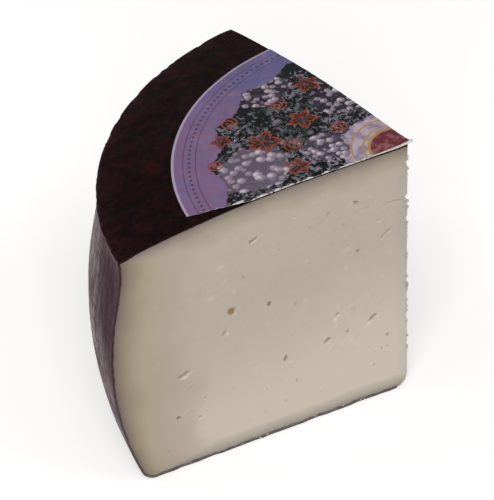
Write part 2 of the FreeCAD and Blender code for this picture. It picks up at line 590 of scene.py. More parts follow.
def sideMaterial():
    material, tree, shader = newMaterial("side rind", {
        "Specular IOR Level": 0.16, "Sheen Weight": 0.2, "Sheen Roughness": 0.35,
        "Sheen Tint": colour(rind["sheen"]),
    })
    at = unrolled(tree, realSize(tree))
    along, _, up = split(tree, at)
    upright = vectorCalc(tree, "MULTIPLY", at, (1.0, 1.0, 0.3))
    level = vectorCalc(tree, "MULTIPLY", at, (0.3, 1.0, 1.0))
    streaks = blotches(tree, upright, 3.0, 0.4, 0.64)
    bloom = blotches(tree, level, 1.3, 0.44, 0.68)
    pits = useGroup(tree, specks, {"Place": at, "Spacing": 8.0, "Share": 0.1, "Radius": 0.05})[0]
    atCut = times(tree, fade(tree, along, 7.0, 3.2), fade(tree, cloud(tree, at, 2.0), 0.35, 0.6))
    # painted highlight: a broken pale line just under the rim, where its rounding catches the light
    patchy = times(tree, mask(tree, "rimGlint"), fade(tree, cloud(tree, at, 3.0), 0.36, 0.56))
    skin = coats(tree, colour(rind["side"]), rind, (
        (blotches(tree, upright, 16.0, 0.42, 0.68), 0.7, "sidePurple"),
        (blotches(tree, upright, 22.0, 0.5, 0.72), 0.7, "sideGreen"),
        (blotches(tree, at, 5.0, 0.48, 0.7), 0.5, "sideRed"),
        (bloom, 0.35, "sidePale"),
        (atCut, 0.7, "sideAtCut"),
        (patchy, 0.8, "sideRimGlint"),
        (pits, 1.0, "sidePit"),
    ))
    drift = plus(tree, along, times(tree, cloud(tree, upright, 6.0), 10.0))
    wider = minus(tree, times(tree, up, rind["handledWidens"]), rind["handledLess"])
    handled = calc(
        tree, "MAXIMUM", fade(tree, minus(tree, drift, wider), *rind["handledFront"]),
        fade(tree, plus(tree, drift, wider), *rind["handledBack"]),
    )
    rough = rind["sideRough"]
    for where, share in ((streaks, 0.26), (bloom, 0.2), (handled, 0.32)):
        rough = plus(tree, times(tree, where, share), rough)
    tree.links.new(rough, shader.inputs["Roughness"])
    cloth = useGroup(tree, clothPrint, {"Place": level, "Spacing": 1.3})[0]
    height = plus(tree, cloth, plus(tree, times(tree, pits, -2.0), times(tree, bloom, 0.5)))
    surface(tree, shader, skin, height, 0.6, 0.08)
    return material


def cutRindMaterial():
    material, tree, shader = newMaterial(
        "cut edge of the rind", {"Roughness": 0.7, "Specular IOR Level": 0.1}
    )
    at = realSize(tree)
    pale = blotches(tree, at, 1.1, 0.45, 0.7)
    height = split(tree, at)[2]
    skin = coats(tree, colour(rind["cutEdge"]), rind, (
        (fade(tree, height, 46.0, 26.0), 1.0, "cutEdgeLow"),
        (pale, 0.4, "cutEdgePale"),
        (fade(tree, height, *rind["rimHeights"]), 1.0, "cutEdgeRim"),
    ))
    foot = coats(tree, colour(rind["foot"]), rind, (
        (pale, 1.0, "footShade"),
        (fade(tree, height, 0.5, 0.15), 1.0, "footLowest"),
    ))
    skin = paint(tree, skin, fade(tree, height, 3.5, 0.8), foot)
    tree.links.new(skin, shader.inputs["Base Color"])
    return material


def keptInCut(moves):
    # moves of the points on the first and last column stay in the plane of their cut
    for column, normal in ((0, frontNormal), (-1, backNormal)):
        moves[:, column] -= np.outer(moves[:, column] @ normal, normal)
    return moves


def makeRind():
    alphas = np.linspace(cut["front"], cut["back"], rind["columns"] + 1)
    d, z = outline(alphas, rind["rows"])
    skin = place(alphas, d, z)
    normals = outwardNormals(skin, np.array(cut["inside"]))
    rimD, rimZ = rimAt(alphas)
    # painted highlight: a band just under the rim's edge, where its rounding catches the light, used by both
    # rind materials
    rimGlintBand = np.exp(-((d - rimD + 0.15) ** 2 + (z - rimZ + 0.5) ** 2) / 0.5 ** 2)
    nearRim = np.exp(-((d - rimD) ** 2 + (z - rimZ) ** 2) / 1.6 ** 2)

    broad = 1 + np.clip(fractal(skin, 17.0), -1, 1)
    lumps = 1 + np.clip(fractal(skin, 4.5, 3, seed=2), -1, 1)
    chips = np.clip(fractal(skin, 5.0, 4, seed=3) - 0.12, 0, 1) * nearRim
    onCrown = crownShare(rind["rows"])
    sunk = (rind["uneven"] * broad + 0.04 * lumps) * (1 - 0.6 * onCrown)
    sunk += np.minimum(0.9 * chips, rind["chip"])
    sunk[z < 0.5] *= 0.15       # the base stays flat
    outer = chippedBase(skin - keptInCut(normals * sunk[..., None]), d, z)

    picks = np.linspace(0, rind["columns"], rind["innerColumns"] + 1).round().astype(int)
    under = skin[:, picks]
    wander = 0.2 * fractal(under, 2.6, 3, seed=4)
    thick = np.clip(rind["thick"] + wander, 0.6, 1.05) * (1 - onCrown)
    thick += np.clip(rind["crownThick"] + 0.5 * wander, 0.26, 0.5) * onCrown
    inner = under - keptInCut(normals[:, picks] * thick[..., None])
    inner = chippedBase(inner, d[:, picks], inner[..., 2])

    rows, columns = z.shape
    outerIds = np.arange(rows * columns).reshape(rows, columns)
    innerIds = np.arange(inner[..., 0].size).reshape(rows, -1) + outerIds.size
    faces = quads(outerIds)
    rimRow = sum(rind["rows"][k] for k in ("base", "foot", "side")) + rind["rows"]["rim"] // 2
    finishes = (np.arange(len(faces)) // (columns - 1) < rimRow).astype(int).tolist()
    faces += quads(innerIds)
    for end in (0, -1):
        faces += quads(stacked(outerIds[:, end], innerIds[:, end]))
        for i, (a, b) in enumerate(zip(picks[:-1], picks[1:])):
            faces.append([*outerIds[end, a:b + 1].tolist(), int(innerIds[end, i + 1]), int(innerIds[end, i])])
    finishes += [2] * (len(faces) - len(finishes))
    points = np.concatenate((outer.reshape(-1, 3), inner.reshape(-1, 3)))
    rimGlintValues = np.concatenate((rimGlintBand.ravel(), np.zeros(innerIds.size)))
    return makePiece(
        "rind", points, faces, (crownMaterial(), sideMaterial(), cutRindMaterial()),
        {"rimGlint": rimGlintValues}, finishes, sharp=50,
    )


rindPiece = makeRind()


# the paste: white inside, with both knife cuts and the eyes in them

paste = {
    "rows": {"base": 198, "foot": 6, "side": 184, "rim": 4, "crown": 199},
    "hiddenColumns": 14,
    "tipColumns": 4,
    "underRind": 0.52,      # the paste's hidden outside lies this deep in the rind
    "underCrown": 0.2,      # and this deep in the thinner skin of the crown
    "behindCut": 0.07,      # the cut paste has sunk this far behind the cut rind
    "wave": 0.1,            # unevenness left by the knife
    "knifeLines": 0.015,
    "chipHeight": 1.8,      # the lowest edge is chipped up to here
    "gather": 4.2,          # the mesh is drawn together within this distance of an eye
    "white": "b4a99b",
    "whiteLow": "ada192",
    "bounceLitLow": "cbc0b2",      # painted light: lighter low down and near the tip, as if lit by light bounced off the floor
    "curd": "c4baac",
    "tipTint": "f3f8ff",    # a little cooler and darker along the tip's edge
    # painted highlight on the lower lips of the eyes, and the paler curd of raised grains
    "lip": "d3c8b9",
    # painted shade in the eyes, darker in deeper ones
    "eyeShade": "8f8069",
    "tan": "8c7450",
    # colours towards each edge of a cut, by the distance from it
    "bySide": ((0, "6a5753"), (1.6, "7a6b62"), (3.4, "8b7d6d"), (5.3, "978a75"), (7.2, "a1947f"),
               (10, "a99c88"), (17.5, "aea193"), (30, "b9aea0"), (44, "cfc5b9")),
    "byCrown": ((0, "655a54"), (0.9, "7d736b"), (2.0, "8c8175"), (4.0, "a09585"), (8.0, "b0a595"),
                (14, "bcb1a3"), (20, "cfc5b9")),
    # painted shade: darker within a few millimetres of the base, where the cheese meets the floor
    "shadeByBase": ((0, "86807a"), (0.7, "938c85"), (1.4, "a0978d"), (2.1, "a8a096"), (3.2, "b4ab9d"),
               (4.6, "c0b6a7"), (6.6, "d4cbc0")),
    # eyes and slits in the front cut: from the tip's edge, height, long, wide, turned, deep, lip
    "eyes": (
        (46.7, 71.8, 3.0, 0.9, 32, 0.9, 0.05),
        (15.7, 72.5, 1.2, 1.0, 0, 0.7, 0.0),
        (15.5, 55.5, 1.2, 0.9, 40, 0.8, 0.0),
        (6.7, 58.4, 3.4, 0.7, 40, 0.5, 0.04),
        (53.6, 50.2, 2.4, 1.9, 20, 0.35, 0.03),
        (42.6, 47.9, 1.3, 1.1, 60, 1.2, 0.0),
        (67.0, 57.7, 2.6, 0.4, 55, 0.2, 0.02),
        (56.2, 43.1, 2.8, 0.9, 62, 0.4, 0.06),
        (68.8, 33.5, 3.8, 1.1, 22, 0.7, 0.07),
        (71.0, 18.7, 1.3, 1.0, 30, 0.9, 0.0),
        (64.6, 16.3, 1.6, 1.1, 10, 0.2, 0.06),
        (38.1, 26.1, 1.8, 1.0, 80, 0.9, 0.0),
        (25.2, 27.2, 2.4, 1.3, 35, 1.1, 0.04),
        (18.9, 28.1, 1.1, 0.8, 50, 0.6, 0.0),
        (21.9, 35.5, 1.8, 0.9, 30, 0.4, 0.06),
        (34.6, 44.5, 1.3, 0.9, 75, 0.3, 0.0),
        (6.4, 21.5, 1.4, 0.8, 70, 0.5, 0.03),
        (34.8, 16.6, 1.6, 0.7, 85, 0.3, 0.0),
        (11.0, 29.7, 3.8, 1.1, 38, 0.7, 0.07),
        (29.6, 69.4, 1.3, 0.8, 20, 0.25, 0.0),
        (24.4, 71.9, 1.5, 0.8, 60, 0.3, 0.0),
        (10.5, 12.0, 1.2, 0.8, 20, 0.3, 0.0),
        (50.0, 60.5, 1.2, 0.8, 80, 0.25, 0.0),
        (5.2, 68.6, 8.5, 0.32, -3, 0.3, 0.0),     # a crack from the nick in the tip's edge
        (13.8, 69.6, 5.0, 0.25, 4, 0.2, 0.0),
    ),
    # grains that stand out of it, written down in the same way
    "grains": (
        (22.7, 33.9, 1.4, 1.0, 0, -0.07, 0.0),
        (12.5, 27.8, 3.2, 1.0, 30, -0.07, 0.0),
        (15.7, 22.2, 2.4, 1.1, 60, -0.04, 0.0),
        (22.0, 13.4, 2.0, 1.0, 40, -0.03, 0.0),
        (24.0, 24.6, 2.6, 0.8, 48, -0.05, 0.0),
        (36.6, 24.4, 1.6, 0.9, 30, -0.05, 0.0),
    ),
    # more of them round these places: from the tip's edge, height, spread, count
    "frontClusters": ((18, 30, 5, 16), (60, 58, 6, 8), (26, 44, 7, 7), (62, 22, 6, 5), (20, 62, 8, 6)),
    "backClusters": ((50, 30, 9, 14), (24, 56, 8, 12), (60, 60, 8, 6)),
    "fleck": (54.0, 50.2, 1.4),     # a tan fleck in the front cut: from the tip's edge, height, radius
    # nicks in the tip's edge: height, length along it, depth
    "nicks": ((80.0, 1.0, 0.5), (68.2, 0.75, 1.5), (66.2, 0.6, 0.5), (61.0, 0.6, 0.9), (51.0, 0.9, 0.3),
              (42.0, 0.6, 0.5), (39.0, 0.5, 0.5), (33.5, 0.5, 0.55), (26.0, 0.9, 0.6), (14.5, 1.2, 0.35)),
}


def scatteredEyes(seed, count, small=False):
    # eyes of a cut that isn't written down above, or specks too small to be
    draw = random.Random(seed)
    eyes = []
    while len(eyes) < count:
        d, z = draw.uniform(4, 78), draw.uniform(6, 78)
        long = draw.uniform(0.5, 1.1) if small else draw.choice((1.1, 1.3, 1.6, 2.4, 3.4))
        wide = long * draw.uniform(0.6, 0.9) if long < 2 else draw.uniform(0.8, 1.1)
        deep = draw.uniform(0.1, 0.25) if small else draw.uniform(0.3, 1.0)
        lip = 0.05 if long > 2 or draw.random() < 0.2 else 0.0
        if all(math.hypot(d - e[0], z - e[1]) > (2.5 if small else 6.0) for e in eyes):
            eyes.append((d, z, long, wide, draw.uniform(0, 90), deep, lip))
    return eyes


def scatteredGrains(seed, clusters):
    # grains of curd round each of some places: pale ones that stand out a little, and shallow pits
    draw = random.Random(seed)
    grains = []
    for d, z, spread, count in clusters:
        for _ in range(count):
            long, at = draw.uniform(1.2, 3.2), (d + draw.gauss(0, spread), z + draw.gauss(0, spread))
            if 3 < at[0] < 76 and 4 < at[1] < 76:
                deep = draw.choice((0.08, -0.02, -0.03))
                grains.append((*at, long, long * draw.uniform(0.35, 0.6), draw.uniform(10, 75), deep, 0.0))
    return grains


def sheetBetween(tipSide, outSide, low, high):
    # points of a four-sided sheet from its four edges, each of (distance, height)
    u = np.linspace(0, 1, len(low))[None, :, None]
    v = np.linspace(0, 1, len(tipSide))[:, None, None]
    sides = (1 - u) * tipSide[:, None] + u * outSide[:, None]
    ends = (1 - v) * low[None] + v * high[None]
    corners = (1 - u) * ((1 - v) * low[0] + v * high[0]) + u * ((1 - v) * low[-1] + v * high[-1])
    return sides + ends - corners


def drawnTogether(sheet, eyes):
    # more points where the eyes are, and none moved at the sheet's edges
    for d, z, long, *_ in eyes:
        away = sheet - np.array((d, z))
        distance = np.linalg.norm(away, axis=-1)
        border = np.concatenate([distance[0], distance[-1], distance[:, 0], distance[:, -1]]).min()
        reach = min(paste["gather"] + long / 2, border * 0.98)
        part = np.clip(distance / reach, 1e-6, 1)
        sheet = np.array((d, z)) + away * (part ** 0.62)[..., None]
    return sheet


def carvedDepth(sheet, eyes):
    # how far each point is sunk, how much painted shade it gets in an eye, and how much painted highlight on an
    # eye's pale lip, which also marks raised grains as paler curd
    sunk, inEye, onLip = (np.zeros(sheet.shape[:2]) for _ in range(3))
    for i, (d, z, long, wide, turn, deep, lip) in enumerate(eyes):
        x, y = d - sheet[..., 0], sheet[..., 1] - z
        close = np.hypot(x, y) < long * 1.8 + 0.8
        x, y = x[close], y[close]
        c, s = math.cos(math.radians(turn)), math.sin(math.radians(turn))
        along, across = x * c + y * s, y * c - x * s
        ragged = 1 + 0.5 * fractal(stacked(along, across, 9.1 * i), 1.0, 4, seed=5)
        reach = np.hypot(along / long, across / wide) * 2 * ragged
        bowl = falling(reach ** 2, 1) ** 0.6
        below = np.clip(-across / wide * 2 + 0.2, 0, 1) * near(along / long * 2 * ragged, 0, 1.0)
        ridge = near(reach, 1.35, 0.4) * below
        sunk[close] += deep * bowl - lip * ridge
        raised = bowl * min(1, -deep / 0.07) if deep < 0 else ridge * min(1, lip / 0.05)
        inEye[close] = np.maximum(inEye[close], np.clip(bowl * 1.4, 0, 1) * min(1, deep / 0.7))
        onLip[close] = np.maximum(onLip[close], np.clip(raised, 0, 1))
    return sunk, inEye, onLip


def tipEdge(alpha, low, high, count):
    # the line where a cut ends at the tip, with its nicks
    z = np.linspace(low, high, count)
    up = stacked(0, 0, z)
    nicked = sum(deep * near(z, at, long) for at, long, deep in paste["nicks"])
    rough = np.abs(fractal(up, 1.6, 4, seed=6)) * 0.22
    crumbled = 0.5 * falling(z, 7) * fractal(up, 2.0, 3, seed=7)
    return stacked(tipStart(alpha, z) + nicked + rough + crumbled, z)


def pasteOutline(alpha):
    deep, shallow = (outline(alpha, paste["rows"], paste[key]) for key in ("underRind", "underCrown"))
    share = crownShare(paste["rows"])
    return [a + (b - a) * share for a, b in zip(deep, shallow)]


def cutFace(alpha, normal, eyes, grains, seed):
    # a knife cut: its points, their (distance, height), how much painted shade each gets in an eye, and how much
    # painted highlight (with paler curd) on a lip or raised grain
    rows = paste["rows"]
    across = rows["base"] + rows["foot"] // 2
    up = rows["foot"] // 2 + rows["side"] + rows["rim"] // 2
    d, z = pasteOutline(alpha)
    edge = stacked(d[:, 0], z[:, 0])
    low, outSide, high = edge[:across + 1], edge[across:across + up + 1], edge[across + up:][::-1]
    tipSide = tipEdge(alpha, low[0, 1], high[0, 1], up + 1)
    fall = falling(np.linspace(0, 12, across + 1)[:, None], 1)
    low = low + fall * (tipSide[0] - low[0])
    high = high + fall * (tipSide[-1] - high[0])
    sheet = drawnTogether(sheetBetween(tipSide, outSide, low, high), eyes)
    sunk, inEye, onLip = carvedDepth(sheet, eyes + grains)
    flat = stacked(sheet[..., 0], sheet[..., 1], 31.0 * seed)
    wave = np.clip(1 + fractal(flat * (1, 0.5, 1), 11.0, 3, seed=8), 0, 2)
    knife = np.clip(1 + fractal(flat * (0.12, 1, 1), 1.6, 2, seed=9), 0, 2)
    depth = paste["behindCut"] + paste["wave"] * wave + paste["knifeLines"] * knife + sunk
    depth += baseChips(sheet[..., 0], seed) * falling(sheet[..., 1], paste["chipHeight"]) ** 0.7
    depth[:, 0] = np.minimum(depth[:, 0], 0.06)     # both cuts meet in the tip's edge
    return place(alpha, sheet[..., 0], sheet[..., 1]) - normal * depth[..., None], sheet, inEye, onLip


def fromEdges(alpha, sheet):
    # distances of the points of a cut from the side, the crown and the base
    d, z = sheet[..., 0], sheet[..., 1]
    return stacked(sideReach(alpha, np.clip(z, 0, 82)) - d, crownAt(alpha, d) - z, z)


def tanFleck(sheet):
    d, z, radius = paste["fleck"]
    away = np.hypot(sheet[..., 0] - d, sheet[..., 1] - z)
    ragged = 0.45 * fractal(stacked(sheet[..., 0], sheet[..., 1], 0), 1.0, 3, seed=17)
    return np.clip((radius - away + ragged) * 1.6, 0, 1)


def pasteMaterial():
    material, tree, shader = newMaterial("goat paste", {
        "Roughness": 0.52, "Specular IOR Level": 0.3, "Subsurface Weight": 0.3,
        "Subsurface Scale": 2.0 * mm, "Subsurface Radius": (1.0, 0.8, 0.6),
    })
    at = realSize(tree)
    fromSide, fromCrown, fromBase = split(tree, mask(tree, "fromEdges", "Vector"))
    fromTip = mask(tree, "fromTip")
    low = plus(tree, fromBase, times(tree, fromTip, 0.25))
    curd = blotches(tree, at, 1.4, 0.5, 0.75)
    milk = coats(tree, colour(paste["white"]), paste, (
        (blotches(tree, at, 9.0, 0.35, 0.65), 0.4, "whiteLow"),
        # painted light: lighter low down and near the tip, as from the floor's bounce light
        (fade(tree, low, 67.0, 12.0), 1.0, "bounceLitLow"),
        (curd, 0.25, "curd"),
    ))
    byTip = fade(tree, fromTip, 4.5, 0.5)
    milk = paint(tree, milk, byTip, colour(paste["tipTint"]), "MULTIPLY")
    wander = fade(tree, cloud(tree, at, 9.0), 0.3, 0.7, -1.6, 1.6)
    fromSide = times(tree, fromSide, fade(tree, fromBase, 34.0, 4.0, 1.0, 1.7))
    # the run towards the base is painted shade where the cheese meets the floor
    for away, name, drift in (
        (fromSide, "bySide", 0.07), (fromCrown, "byCrown", 0.08), (fromBase, "shadeByBase", 0.05),
    ):
        away = times(tree, away, plus(tree, times(tree, wander, drift), 1.0))
        milk = paint(tree, milk, 1.0, colourRun(tree, away, paste[name]), "DARKEN")
    milk = coats(tree, milk, paste, (
        # painted shade in the eyes
        (mask(tree, "inEye"), 0.85, "eyeShade"),
        # painted highlight on eye lips, and paler curd on raised grains
        (mask(tree, "onLip"), 1.0, "lip"),
        (mask(tree, "tanFleck"), 1.0, "tan"),
    ))
    height = plus(tree, cloud(tree, at, 0.45, 4.0), times(tree, curd, 0.6))
    surface(tree, shader, milk, height, 0.35, 0.06)
    return material


farOff = 60      # distance from an edge that stands for far away from it
pasteMasks = {"inEye": 0, "onLip": 0, "tanFleck": 0, "fromTip": farOff, "fromEdges": (farOff,) * 3}


def makePaste(material):
    points, faces, masks = [], [], {name: [] for name in pasteMasks}

    def add(grid, **known):
        # a sheet of points with its masks; gives the table of its points' numbers
        first = sum(len(p) for p in points)
        points.append(grid.reshape(-1, 3))
        for name, plain in pasteMasks.items():
            wide = grid.shape[:2] + np.shape(plain)
            masks[name].append(np.broadcast_to(known.get(name, plain), wide).reshape(-1, *np.shape(plain)))
        return np.arange(grid[..., 0].size).reshape(grid.shape[:2]) + first

    small = [e for e in scatteredEyes(21, 26, True)
             if all(math.hypot(e[0] - f[0], e[1] - f[1]) > 5 for f in paste["eyes"])]
    front = (list(paste["eyes"]) + small, list(paste["grains"]) + scatteredGrains(24, paste["frontClusters"]))
    back = (scatteredEyes(22, 22) + scatteredEyes(23, 18, True), scatteredGrains(25, paste["backClusters"]))
    ids, tipSides = [], []
    for alpha, normal, carved, seed in (
        (cut["front"], frontNormal, front, 1), (cut["back"], backNormal, back, 2),
    ):
        grid, sheet, inEye, onLip = cutFace(alpha, normal, *carved, seed)
        ids.append(add(
            grid, inEye=inEye, onLip=onLip, fromTip=sheet[..., 0], fromEdges=fromEdges(alpha, sheet),
            tanFleck=tanFleck(sheet) if seed == 1 else 0,
        ))
        tipSides.append(grid[:, 0])
        faces += quads(ids[-1])

    # the crumbly edge of the tip, from one cut to the other
    a, b = tipSides
    t = np.linspace(0, 1, paste["tipColumns"] + 1)[1:-1, None]
    across = a[:, None] * (1 - t) + b[:, None] * t
    width = np.linalg.norm(a - b, axis=-1)[:, None]
    rough = fractal(across, 0.9, 4, seed=10) * np.minimum(0.3 * width, 0.45)
    across = across - np.array((math.cos(middleTurn), math.sin(middleTurn), 0)) * rough[..., None]
    heights = across[..., 2]
    far = stacked(farOff, crownAt(cut["front"], 0.1) - heights, heights)
    edge = add(across, fromTip=0, fromEdges=far)
    faces += quads(np.concatenate((ids[0][:, :1], edge, ids[1][:, :1]), 1))

    # the hidden outside, under the rind
    alphas = np.linspace(cut["front"], cut["back"], paste["hiddenColumns"] + 1)[1:-1]
    d, z = pasteOutline(alphas)
    hidden = add(place(alphas, d, z), fromEdges=0)
    rims = [np.concatenate((i[0, :-1], i[:, -1], i[-1, -2::-1])) for i in ids]
    faces += quads(np.concatenate((rims[0][:, None], hidden, rims[1][:, None]), 1))

    # close the ends of the tip's edge, at the base and at the crown
    for row in (0, -1):
        faces.append([int(i) for i in (*hidden[row], rims[1][row], *edge[row][::-1], rims[0][row])])
    masks = {name: np.concatenate(parts) for name, parts in masks.items()}
    return makePiece("paste", np.concatenate(points), faces, (material,), masks, sharp=45)


goatPaste = pasteMaterial()
pastePiece = makePaste(goatPaste)
for piece in (rindPiece, pastePiece):
    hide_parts("cheese")


# the label: paper on the crown, cut with the cheese

label = {
    "middle": (-2.5, 1.0),
    "radius": 61.2,
    "paper": 0.1,           # thickness
    "lift": 0.072,          # where it is loose it lies this far off the crown
    "overhang": 1.4,        # past the tip
    "trimReach": 47.0,      # the front edge leaves the cut here
    "trimSetback": 4.2,     # and is this far behind it at the round edge
    "curl": 0.6,            # how far the tip of the paper stands up
    "curlReach": 5.5,
    "fray": 0.22,           # how far the torn front edge stands up
    "along": 150,
    "across": 170,
    "lilac": "7b6083",
    "lilacBlue": "606088",
    "lilacPatches": ((7.0, "8b7396"), (5.0, "856a80"), (3.5, "6c6b8e")),      # size, colour
    "field": "1a1c1d",      # dark ground of the print, like leaves at night
    # flecks on it: size, where they start, colour
    "fieldFlecks": ((3.1, 0.5, "3e4a44"), (2.3, 0.5, "77727f"), (1.6, 0.5, "100e0e"), (1.1, 0.62, "b1a8b2")),
    "pale": "8f7f96",       # the ragged ring round the disc
    "palePatches": "b5a4b0",
    # bunches: middle, size, size of a drop, colour of the gaps
    "bunches": (((-38, 10, 0), 10.5, 2.6, "6a5e6d"), ((-21, 42, 0), 8.5, 2.2, "332b36"),
                ((-17, 9, 0), 7.0, 2.0, "4a404e"), ((-5, 27, 0), 7.5, 2.1, "332b36")),
    "blush": "cfc4cb",
    "blushShade": "8f8090",
    # leaves and tendrils: middle, size, turn
    "leaves": (((-31, 20, 0), 5.4, 0.4), ((-17, 24, 0), 4.6, 1.7), ((-27, 5.5, 0), 4.0, 2.6),
               ((-9, 38, 0), 4.2, 0.9), ((-40, 27, 0), 3.4, 2.1)),
    "tendrils": (((-24, 14.5, 0), 3.0, 0.5), ((-35, 33, 0), 2.8, 2.9), ((-10, 15, 0), 2.6, 1.2),
                 ((-20, 33, 0), 2.6, 4.0), ((-46, 18, 0), 2.4, 5.0)),
    "ember": "8c4734",
    "emberDark": "3c2220",
    "wine": "6a2f3a",
    "winePatches": "8a5a5e",
    "gold": "a98a4c",
    "goldRings": ((7.8, 0.3), (9.4, 0.18), (12.6, 0.18)),       # radius, half their width
    "beads": 56.4,          # radius of the row of beads
    "beadStep": 0.034,      # angle from one to the next
    "beadRings": (54.7, 58.1),
    "violet": "33284a",
    "paleLilac": "a99ab0",
    "torn": "c9c2bd",
}


def tipCurl(x, y):
    # how high the loose tip of the paper stands
    return label["curl"] * falling(np.hypot(x - label["overhang"], y), label["curlReach"]) ** 2


def trimAt(x):
    # how far the label's front edge lies behind the cut
    run = label["radius"] - label["middle"][0] - label["trimReach"]
    return np.maximum(0, -label["trimReach"] - x) * label["trimSetback"] / run


def labelSheet():
    # points of the paper, seen from above, from the tip to the round edge and across
    centre, radius = np.array(label["middle"]), label["radius"]

    def onRound(angle):
        return centre + radius * stacked(np.cos(angle), np.sin(angle))

    frontAngle = math.pi
    for _ in range(30):     # closes in on where the trimmed edge meets the round one
        frontAngle = math.pi - math.asin((trimAt(onRound(frontAngle)[0]) - centre[1]) / radius)
    backWay = np.array((math.cos(cut["back"]), math.sin(cut["back"])))
    b = centre @ backWay
    backEnd = backWay * (b + math.sqrt(b * b - centre @ centre + radius ** 2))
    backAngle = math.atan2(*(backEnd - centre)[::-1])

    s = np.linspace(0, 1, label["along"] + 1)
    t = np.linspace(0, 1, label["across"] + 1)
    tipPoint = np.array((label["overhang"], 0.0))
    x = tipPoint[0] + s * (onRound(frontAngle)[0] - tipPoint[0])
    front = stacked(x, trimAt(x))
    back = tipPoint + s[:, None] * (backEnd - tipPoint)
    outer = onRound(frontAngle + t * (backAngle - frontAngle))

    # torn edges: ragged along the front cut, nearly clean along the back one
    along = stacked(x, 0, 0)
    ragged = np.abs(fractal(along, 2.4, 4, seed=11))
    bites = np.clip(fractal(along, 7.0, 3, seed=12) - 0.1, 0, 1)
    torn = (0.3 * ragged + 1.1 * bites) * np.clip(s * 12, 0.25, 1)
    front[:, 1] += torn
    back[:, 0] -= 0.2 * np.abs(fractal(stacked(0, back[:, 1], 0), 1.5, 3, seed=13))
    first = front[0] + t[:, None] * (back[0] - front[0])
    first[:, 1] += 0.4 * t
    back[0] = first[-1]
    return sheetBetween(front, back, first, outer), torn


def turnedMotif(tree, take):
    # where a printed place lies from a motif's middle: direction, turned with it, and distance
    moved = vectorCalc(tree, "SUBTRACT", take["Print"], take["Middle"])
    x, y, _ = split(tree, turned(tree, moved, take["Turn"]))
    return calc(tree, "ARCTAN2", y, x), length(tree, moved)


def leafGroup():
    # a five-lobed vine leaf
    tree, take, give = newGroup(
        "vine leaf", {"Print": (0, 0, 0), "Middle": (0, 0, 0), "Size": 4.0, "Turn": 0.0}, "Leaf", "Edge"
    )
    angle, away = turnedMotif(tree, take)
    away = over(tree, away, take["Size"])
    reach = 0.66
    for turns, share in ((1.0, 0.12), (5.0, 0.17), (15.0, 0.05), (23.0, 0.03)):
        wave = calc(tree, "COSINE", times(tree, angle, turns))
        reach = plus(tree, times(tree, wave, share), reach)
    inside = minus(tree, reach, away)
    rib = calc(tree, "ABSOLUTE", calc(tree, "SINE", times(tree, angle, 2.5)))
    rib = fade(tree, times(tree, rib, away), 0.08, 0.03)
    edge = fade(tree, calc(tree, "ABSOLUTE", inside), 0.1, 0.05)
    leaf = fade(tree, inside, -0.03, 0.03)
    tree.links.new(leaf, give["Leaf"])
    tree.links.new(calc(tree, "MAXIMUM", edge, times(tree, rib, leaf)), give["Edge"])
    return tree


def tendrilGroup():
    # a thin line that winds inwards
    tree, take, give = newGroup(
        "tendril", {"Print": (0, 0, 0), "Middle": (0, 0, 0), "Size": 4.0, "Turn": 0.0, "Width": 0.4}, "Line"
    )
    angle, away = turnedMotif(tree, take)
    pitch = times(tree, take["Size"], 0.45)
    arm = minus(tree, over(tree, away, pitch), over(tree, angle, 2 * math.pi))
    beside = times(tree, off(tree, calc(tree, "FRACT", arm), 0.5), pitch)
    line = fade(tree, over(tree, beside, take["Width"]), 0.6, 0.35)
    inside = fade(tree, over(tree, away, take["Size"]), 1.0, 0.97)
    tree.links.new(times(tree, line, inside), give["Line"])
    return tree


def bunchGroup():
    # round drops packed in a ragged patch, each with a light side
    tree, take, give = newGroup(
        "bunch of drops", {"Print": (0, 0, 0), "Middle": (0, 0, 0), "Size": 9.0, "Drop": 2.6},
        "Drops", "Light", "Gaps",
    )
    moved = vectorCalc(tree, "SUBTRACT", take["Print"], take["Middle"])
    away = over(tree, length(tree, moved), take["Size"])
    ragged = times(tree, cloud(tree, take["Print"], 5.0, 3.0), 1.1)
    patch = fade(tree, plus(tree, away, ragged), 1.5, 1.42)
    scale = over(tree, 1.0, take["Drop"])

    def balls(at, start, end):
        cells = node(tree, "ShaderNodeTexVoronoi", {"Vector": at, "Scale": scale, "Randomness": 0.75})
        return fade(tree, cells.outputs["Distance"], start, end)

    tree.links.new(times(tree, balls(take["Print"], 0.56, 0.48), patch), give["Drops"])
    tree.links.new(balls(vectorCalc(tree, "ADD", take["Print"], (0.4, -0.4, 0)), 0.5, 0.1), give["Light"])
    tree.links.new(patch, give["Gaps"])
    return tree


vineLeaf, tendril, dropBunch = leafGroup(), tendrilGroup(), bunchGroup()


